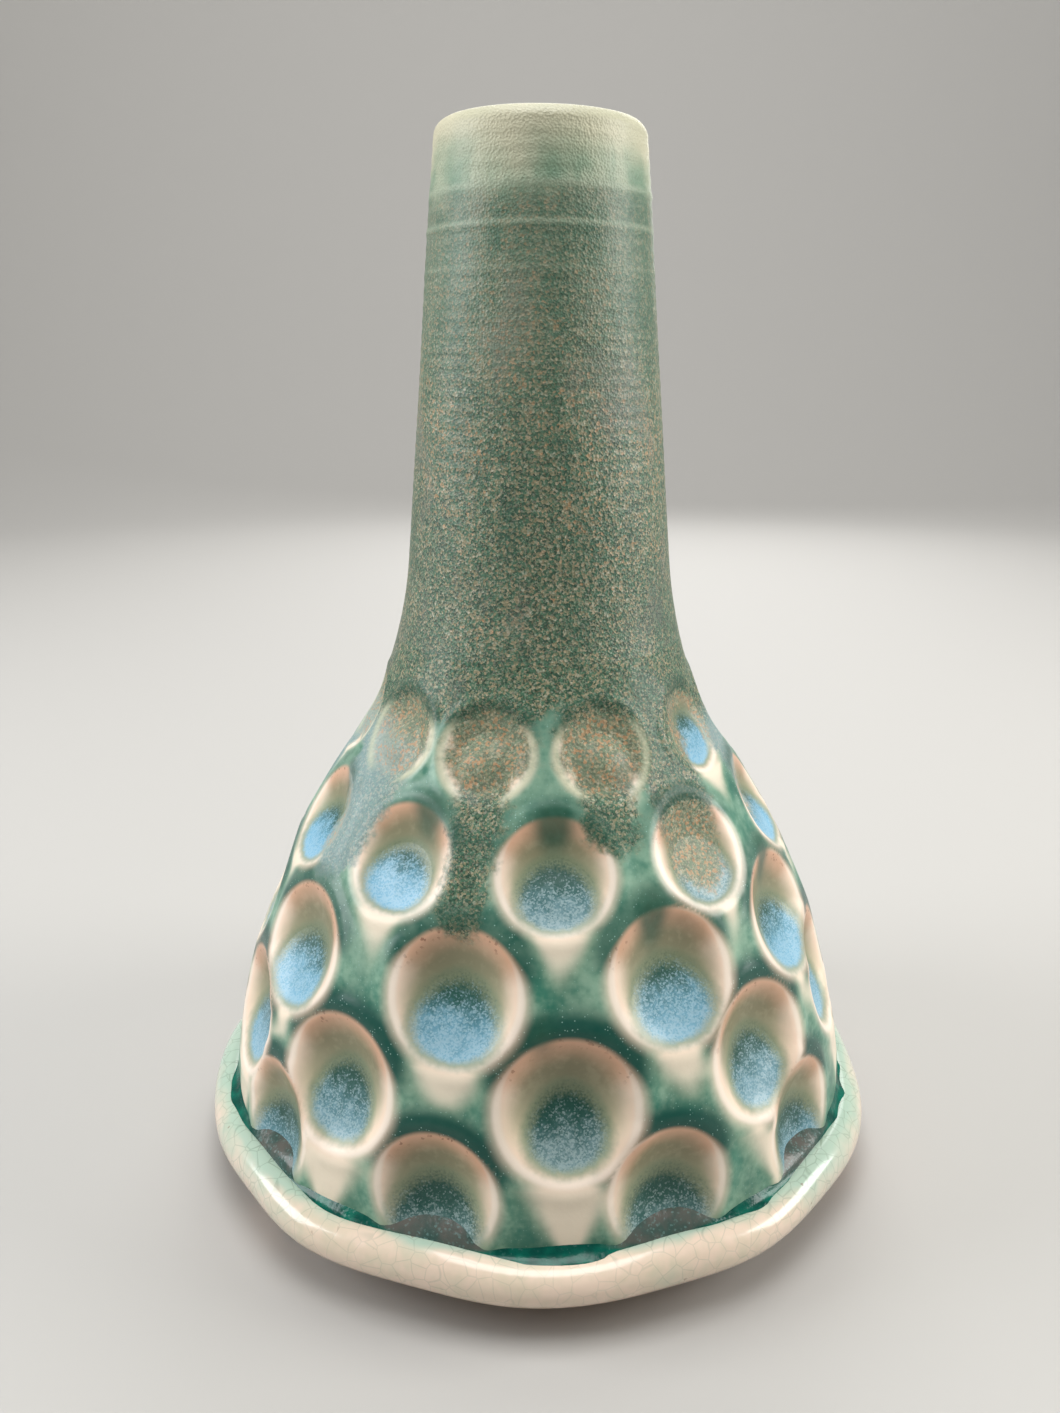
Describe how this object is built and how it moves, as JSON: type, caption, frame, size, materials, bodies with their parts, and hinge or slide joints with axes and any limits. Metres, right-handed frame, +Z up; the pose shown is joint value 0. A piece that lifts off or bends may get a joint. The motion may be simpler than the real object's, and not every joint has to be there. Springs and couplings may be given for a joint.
{
  "type": "ceramic bud vase",
  "caption": "Tall-necked stoneware bud vase: a dimpled hollow bell on a wavy rolled base rim and small feet, with green running glaze and glassy pools.",
  "frame": {"origin": "centre of the footprint, on the surface that the vase stands on", "axes": "+Z up the neck; -Y towards the front; +X to the right of the front"},
  "size_m": [0.118, 0.1198, 0.17],
  "materials": {
    "foot_clay": "thin glossy glaze over pale clay, wiped bare on the sole",
    "floor_clay": "bare fired clay",
    "rim_glaze": "glossy cream glaze with a fine crackle",
    "bell_glaze": "satin teal-green glaze, cream and pink where it runs thin over edges",
    "neck_glaze": "matt grey-green glaze with dense tan and dark speckle",
    "gutter_glass": "glossy dark emerald glass with small crystals",
    "dimple_glass": "glossy blue-grey crystalline glass",
    "liner_glass": "plain glossy pale celadon glaze"
  },
  "bodies": {
    "root": {"feet": "foot_clay", "base_floor": "floor_clay", "base_rim": "rim_glaze", "bell_wall": "bell_glaze", "neck": "neck_glaze", "gutter_glaze": "gutter_glass", "dimple_glaze": "dimple_glass", "liner_glaze": "liner_glass"}
  },
  "joints": []
}
